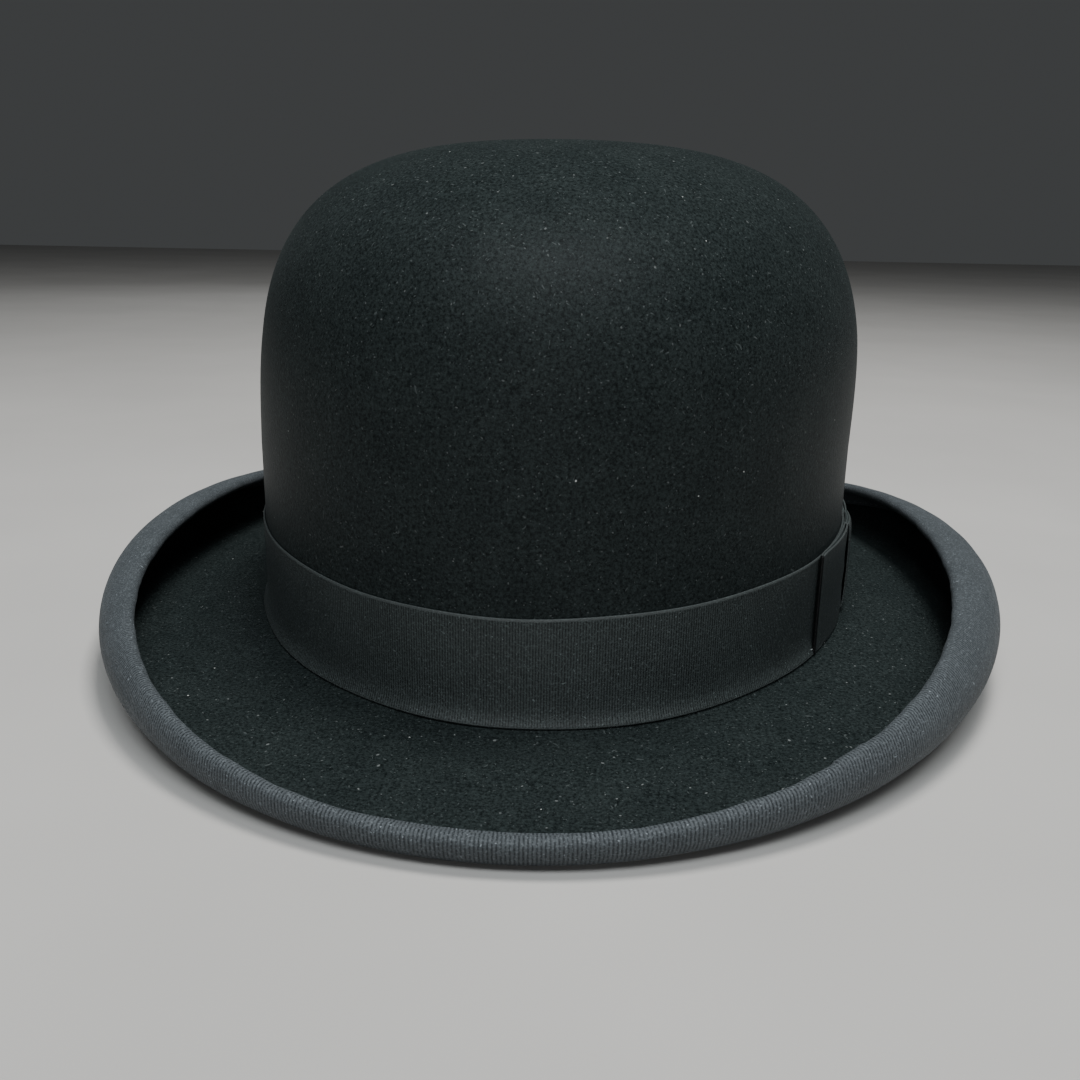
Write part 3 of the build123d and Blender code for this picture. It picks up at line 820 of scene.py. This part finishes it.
def resample(path, spacing, closed):
    """The same path with equal steps, a whole number of ribs long when it closes."""
    path = np.asarray(path, float)
    if closed:
        path = np.concatenate([path, path[:1]])
    run = np.concatenate([[0], np.cumsum(np.linalg.norm(np.diff(path, axis=0), axis=1))])
    ribs = max(2, round(run[-1] / spacing))
    wanted = np.linspace(0, run[-1], ribs * len(RIB_SHAPE) + 1)
    if closed:
        wanted = wanted[:-1]
    return np.stack([np.interp(wanted, run, path[:, k]) for k in range(path.shape[1])], axis=1), run[-1]


def folded_loop(half, low, fold, pinch, puff, spacing):
    """Ribbon folded into a flat loop, as (along, out): over its top, round each end and back under.

    It lies at low, its ends turn with the radius fold, its middle is held down to pinch, and puff
    is how far each half swells.
    """
    share = np.linspace(-1, 1, 121)
    reach = half - fold
    ease = share**2 * (3 - 2 * np.abs(share))
    over = low + pinch + (2 * fold - pinch) * ease + puff * np.sin(math.pi * np.abs(share)) ** 1.3
    path = list(zip(share * reach, over))
    bend = np.linspace(math.pi / 2, -math.pi / 2, 13)[1:-1]
    path += list(zip(reach + fold * np.cos(bend), low + fold + fold * np.sin(bend)))
    path += list(zip(-share * reach, np.full(len(share), low)))
    path += list(zip(-reach - fold * np.cos(bend), low + fold - fold * np.sin(bend)))
    return resample(path, spacing, True)


def beside_wall(along, out, height):
    """Points off the crown's left wall, this far towards the back, and the headline below them."""
    turns = np.arcsin(np.clip(along / WALL_Y, -1, 1))
    return place(turns, WALL_X, WALL_Y, out, height), headline(turns)


def make_bow_loops():
    """The bow's ribbon: a flat loop, drawn in at the middle where the knot holds it."""
    half = (BOW_BACK - BOW_FRONT) / 2
    path, length = folded_loop(half, BAND_OUT + 0.28, 0.27, 0.3, 0.5, BAND_PITCH)
    # Its ends stand a little off the hatband
    path[:, 1] += 0.6 * np.clip((np.abs(path[:, 0]) - half + 5) / 5, 0, 1) ** 2
    across = np.array([0, 0.5, 1.2, 2.4, 5, 9, 13, 17, 21, 23.6, 24.8, 25.5, 26]) / 26
    along = path[:, 0] + BOW_MIDDLE
    drawn = 1.7 * np.exp(-((path[:, 0] / 9) ** 2))
    _, foot = beside_wall(along, path[:, 1:2], 0)
    low = foot[:, 0] + BAND_LIFT + drawn
    high = foot[:, 0] + BAND_LIFT + 0.6 + BAND_WIDTH - drawn
    height = low[:, None] + (high - low)[:, None] * across[None, :]
    over = (path[:, 1] > BAND_OUT + 0.7)[:, None]
    fold = np.exp(-((path[:, :1] / 15) ** 2)) * 0.16 * (1 + np.sin(across[None, :] * 5 * math.pi)) * over
    points, _ = beside_wall(along, path[:, 1:2] + fold, height)
    piece = cloth_strip("bow_ribbon", points, RIBBON, True, rib=0.045, pitch=BAND_PITCH, selvage=0.04)
    from_end = np.abs(np.abs(path[:, 0]) - half)
    # Marks the folds at its two ends, which the ribbon's material paints near black as shade
    fold_shade = np.repeat(np.clip(1.3 - from_end / 0.6, 0, 1), len(piece.data.vertices) // len(path))
    piece.data.attributes.new("fold", "FLOAT", "POINT").data.foreach_set("value", fold_shade)
    finish_piece(piece, BAND_LOOK, "bow_loops")


def make_bow_knot():
    """Short ribbon drawn round the bow's middle, its ends tucked behind."""
    _, foot = beside_wall(np.array([BOW_MIDDLE]), 0, 0)
    centre = foot[0, 0] + 1.0 + BAND_WIDTH / 2
    bend = np.linspace(-math.pi / 2, math.pi / 2, 161)
    out = BAND_OUT + 0.3 + 1.75 * np.abs(np.cos(bend)) ** 0.28
    rise = (BAND_WIDTH / 2 - 0.5) * np.sin(bend)
    path, length = resample(list(zip(out, rise)), BAND_PITCH, False)
    share = np.linspace(-1, 1, 13)
    width = 6.6 + 0.5 * (path[:, 1] / (BAND_WIDTH / 2)) ** 2
    along = BOW_MIDDLE + width[:, None] * share[None, :]
    bulge = 0.3 * (1 - share[None, :] ** 2)
    points = np.empty((len(path), len(share), 3))
    for column in range(len(share)):
        spot, _ = beside_wall(
            along[:, column], path[:, :1] + bulge[:, column : column + 1], centre + path[:, 1:2]
        )
        points[:, column] = spot[:, 0]
    piece = cloth_strip(
        "bow_knot_ribbon", points, RIBBON, False, rib=0.045, pitch=BAND_PITCH, face_out=-1, selvage=0.04
    )
    finish_piece(piece, BAND_LOOK, "bow_knot")


def make_band_tacks():
    """The short hand stitches that hold the hatband."""
    parts = []
    for angle in (-162, 166, 142, 118, 96, 74, 52, 30):
        turns = np.radians([angle, angle + 1.1])
        spots = place(turns, WALL_X, WALL_Y, BAND_OUT, headline(turns) + BAND_WIDTH - 0.4)[:, 0]
        outward = place(turns, WALL_X, WALL_Y, BAND_OUT + 1, headline(turns) + BAND_WIDTH - 0.4)[:, 0]
        parts.append(stitch(spots[0], spots[1], 0.2, (outward - spots)[0]))
    finish_piece(joined("band_tack_threads", parts), THREAD_LOOK, "hatband_tacks")


def make_bow_tacks():
    """Two short stitches at each end of the bow, low on the band; their thread is painted pale as a
    glint.
    """
    parts = []
    for along, step in ((BOW_FRONT + 0.4, -1), (BOW_BACK - 0.4, 1)):
        for lift in (0.4, 1.1):
            ends = np.array([along, along + 1.3 * step])
            _, foot = beside_wall(ends, 0, 0)
            spots, _ = beside_wall(ends, np.array([[1.5], [0.75]]), foot + 1.0 + lift)
            outward, _ = beside_wall(ends, np.array([[2.5], [1.75]]), foot + 1.0 + lift)
            parts.append(stitch(spots[0, 0], spots[1, 0], 0.35, (outward - spots)[0, 0]))
    # Painted highlight: the tacks' black thread is given a pale grey colour to stand for its glint
    look = thread_material("tack_thread_glint", rgb(0.16, 0.17, 0.17))
    finish_piece(joined("bow_tack_threads", parts), look, "bow_tacks")


# ---------------------------------------------------------------- inside the crown


def make_sweatband():
    """Leather strip: it leans in a little at the top, waves slightly and is seamed at the back."""
    turns, length = even_turns(LEATHER_X, LEATHER_Y, 720)
    up = np.array([0.0, 0.4, 1.5, 3, 4.2, 7, 12, 18, 24, 30, 36, 42, 46.5, 49, 49.7, SWEATBAND_HEIGHT])
    share = (up / SWEATBAND_HEIGHT)[None, :]
    wave = 0.25 + 0.18 * np.sin(4 * turns + 1) + 0.12 * np.sin(9 * turns + 0.5)
    dent = 0.25 * np.exp(-(((up - SEWN_HEIGHT) / 0.8) ** 2))[None, :]
    seam = 0.21 * np.exp(-(((turns[:, None] - math.pi / 2) * LEATHER_Y / 0.7) ** 2))
    out = -0.45 - wave[:, None] * share**1.5 - dent + seam
    points = place(turns, LEATHER_X, LEATHER_Y, out, headline(turns) + up[None, :])
    piece = cloth_strip("sweatband_leather", points, 0.85, True)
    finish_piece(piece, leather_material(), "sweatband")


def make_reed():
    """Reed along the sweatband's foot."""
    turns, _ = even_turns(LEATHER_X, LEATHER_Y, 480)
    path = place(turns, LEATHER_X, LEATHER_Y, -0.9, headline(turns) - 1.05)[:, 0]
    reed = joined("reed_rod", [tube(path, 0.85, sides=14)])
    finish_piece(reed, reed_material(), "sweatband_reed")


def make_reed_tape():
    """Tape that wraps the reed and runs up behind the leather."""
    turns, length = even_turns(LEATHER_X, LEATHER_Y, 480)
    out = np.array([0.32, 0.32, 0.32, 0.32, 0.28, 0.0, -0.55, -1.15, -1.65, -1.95])
    up = np.array([9.0, 6.0, 3.0, 0.6, -0.9, -1.8, -2.25, -2.3, -2.0, -1.55])
    fray = 0.12 * np.sin(60 * turns)[:, None] * (up == 9.0)[None, :]
    points = place(turns, LEATHER_X, LEATHER_Y, out[None, :], headline(turns) + up[None, :] + fray)
    piece = cloth_strip("tape", points, 0.28, True, back_step=2)
    finish_piece(piece, tape_material(), "reed_tape")


def make_sweatband_threads():
    """The thread row above the reed, on the leather's inner face."""
    inner_x, inner_y = LEATHER_X - 1.15, LEATHER_Y - 1.15
    turns, _ = even_turns(inner_x, inner_y, 1440)
    line = place(turns, inner_x, inner_y, 0, headline(turns) + SEWN_HEIGHT)[:, 0]
    inward = line - place(turns, inner_x, inner_y, 1, headline(turns) + SEWN_HEIGHT)[:, 0]
    piece = joined("sweatband_threads", stitch_row(line, inward, 0.68, 180))
    finish_piece(piece, TAN_THREAD_LOOK, "sweatband_stitching")


def make_seam_threads():
    """The zigzag that closes the leather at the back."""
    parts = []
    inner = LEATHER_Y - 1.35
    for step in range(17):
        height = HEADLINE_FRONT + 6 + 2.5 * step
        side = 1.4 if step % 2 else -1.4
        start, end = np.array([-side, inner, height]), np.array([side, inner, height + 2.2])
        parts.append(stitch(start, end, 0.2, np.array([0, -1.0, 0])))
    piece = joined("seam_threads", parts)
    finish_piece(piece, TAN_THREAD_LOOK, "sweatband_seam_stitches")


SMALL_BOW_LOOK = satin_material("black_satin", rgb(0.012, 0.012, 0.014), rgb(0.03, 0.03, 0.034))
SMALL_BOW_BACK = LEATHER_Y - 1.6  # it lies on the leather's inner face


def make_small_bow():
    """Small satin bow over the sweatband's seam."""
    path, _ = folded_loop(13.0, 0.3, 0.7, 0.7, 1.0, 0.8)
    across = np.linspace(-1, 1, 9)
    half = 3.4 - 1.5 * np.exp(-((path[:, 0] / 3.2) ** 2))
    points = np.empty((len(path), 9, 3))
    points[..., 0] = path[:, :1]
    points[..., 1] = SMALL_BOW_BACK - path[:, 1:2]
    points[..., 2] = SMALL_BOW_HEIGHT + half[:, None] * across[None, :]
    piece = cloth_strip("small_bow_ribbon", points, 0.22, True)
    finish_piece(piece, SMALL_BOW_LOOK, "sweatband_bow")


def make_small_bow_knot():
    """Ribbon round the small bow's middle."""
    bend = np.linspace(-math.pi / 2, math.pi / 2, 41)
    over = list(zip(0.4 + 1.5 * np.abs(np.cos(bend)) ** 0.5, 2.7 * np.sin(bend)))
    path, _ = resample(over, 0.5, False)
    share = np.linspace(-1, 1, 7)
    points = np.empty((len(path), 7, 3))
    points[..., 0] = 1.9 * share[None, :]
    points[..., 1] = SMALL_BOW_BACK - path[:, :1] - 0.3 * (1 - share[None, :] ** 2)
    points[..., 2] = SMALL_BOW_HEIGHT + path[:, 1:2]
    piece = cloth_strip("small_bow_knot", points, 0.22, False)
    finish_piece(piece, SMALL_BOW_LOOK, "sweatband_bow_knot")


LINING_GAP = 0.4  # from the felt's inside
LINING_X, LINING_Y = WALL_X - FELT - LINING_GAP, WALL_Y - FELT - LINING_GAP
LINING_FOOT, GATHER_FOOT = 21.0, 62.0  # where the wall starts, and where its gathers do
LINING_TOP, LINING_SEAM = cad_size("lining_tip")[3], cad_size("lining_wall")[3]
LINING_LOOK = satin_material("satin", rgb(0.43, 0.40, 0.35), rgb(0.48, 0.45, 0.40))


def lining_share(height):
    """How much of the lining's full width is left at this height."""
    rise = np.clip((height - DOME_FOOT) / (LINING_TOP - DOME_FOOT), 0, 1)
    return (1 - rise**DOME_RISE) ** (1 / DOME_PLAN)


# Share of the lining's full width at the seam between wall and tip
SEAM_SHARE = lining_share(LINING_SEAM + 0.1)


def make_lining_wall():
    """Satin wall with gathers towards its upper seam."""
    turns, length = even_turns(LINING_X, LINING_Y, 1200)
    upper = np.linspace(DOME_FOOT, LINING_SEAM, 26)[1:]
    height = np.concatenate([np.linspace(LINING_FOOT, DOME_FOOT, 8), upper])
    share = lining_share(height)
    depth = np.clip((height - GATHER_FOOT) / (LINING_SEAM - GATHER_FOOT), 0, 1) ** 1.2
    gather = 0.5 + 0.5 * np.sin(64 * turns + 1.5 * np.sin(5 * turns) + 0.9 * np.sin(13 * turns))
    slow = 0.5 + 0.5 * np.sin(11 * turns + 0.6)
    out = -(0.75 * gather[:, None] * depth[None, :] + 0.5 * slow[:, None] * depth[None, :] ** 0.5)
    points = place(turns, LINING_X * share, LINING_Y * share, out, height[None, :])
    piece = cloth_strip("satin_wall", lean(points), 0.3, True, back_step=1)
    finish_piece(piece, LINING_LOOK, "lining_wall")


def make_lining_tip():
    """Oval of satin under the crown's top, sagging a little between its seams."""
    steps = 81
    u, v = np.meshgrid(np.linspace(-1, 1, steps), np.linspace(-1, 1, steps), indexing="ij")
    across, ahead = u * np.sqrt(1 - v**2 / 2), v * np.sqrt(1 - u**2 / 2)
    radius = np.hypot(across, ahead)
    half_x, half_y = LINING_X * SEAM_SHARE, LINING_Y * SEAM_SHARE
    tip = np.empty((steps, steps, 3))
    tip[..., 0], tip[..., 1] = half_x * across, half_y * ahead
    level = 1 - (radius * SEAM_SHARE) ** DOME_PLAN
    sag = 1 + np.sin(0.09 * tip[..., 0] + 1) * np.sin(0.07 * tip[..., 1])
    tip[..., 2] = DOME_FOOT + (LINING_TOP - DOME_FOOT) * level ** (1 / DOME_RISE) - 0.35
    tip[..., 2] -= 0.25 * (1 - radius**4) * sag
    piece = cloth_strip("satin_tip", lean(tip), 0.3, False, back_step=1)
    finish_piece(piece, LINING_LOOK, "lining_tip")


def make_piping():
    """Covered cord, just inside and below the seam between wall and tip."""
    turns, _ = even_turns(LINING_X, LINING_Y, 1800)
    half_x, half_y = LINING_X * SEAM_SHARE - 1.9, LINING_Y * SEAM_SHARE - 1.9
    path = place(turns, half_x, half_y, 0, LINING_SEAM - 1.0)[:, 0]
    cord = tube(lean(path), 1.0, sides=15, twist=0.35, groove=0.28)
    look = satin_material("piping_satin", rgb(0.38, 0.35, 0.3), rgb(0.44, 0.41, 0.35))
    finish_piece(joined("piping_cord", [cord]), look, "lining_piping")


def make_label():
    """Small blank label that stands up behind the sweatband."""
    low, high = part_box("size_label")
    ends = np.arccos(np.clip(np.array([high[0], low[0]]) / MM / LEATHER_X, -1, 1))
    turns, _ = even_turns(LEATHER_X, LEATHER_Y, 25, ends[0], ends[1], closed=False)
    share = np.linspace(0, 1, 12)[None, :]
    height = low[2] / MM + (high[2] - low[2]) / MM * share
    curl_in = -0.8 * np.clip(share - 0.7, 0, 1) ** 1.5
    points = place(turns, LEATHER_X, LEATHER_Y, 0.22 + curl_in, height)
    piece = cloth_strip("paper_label", points, 0.12, False)
    finish_piece(piece, paper_material(), "size_label")


# The ribs' heights are drawn piece by piece, so this order belongs to the look
make_felt()
make_binding()
make_binding_stitches()
make_hatband()
make_bow_loops()
make_bow_knot()
make_band_tacks()
make_bow_tacks()
make_sweatband()
make_reed()
make_reed_tape()
make_sweatband_threads()
make_seam_threads()
make_small_bow()
make_small_bow_knot()
make_lining_wall()
make_lining_tip()
make_piping()
make_label()
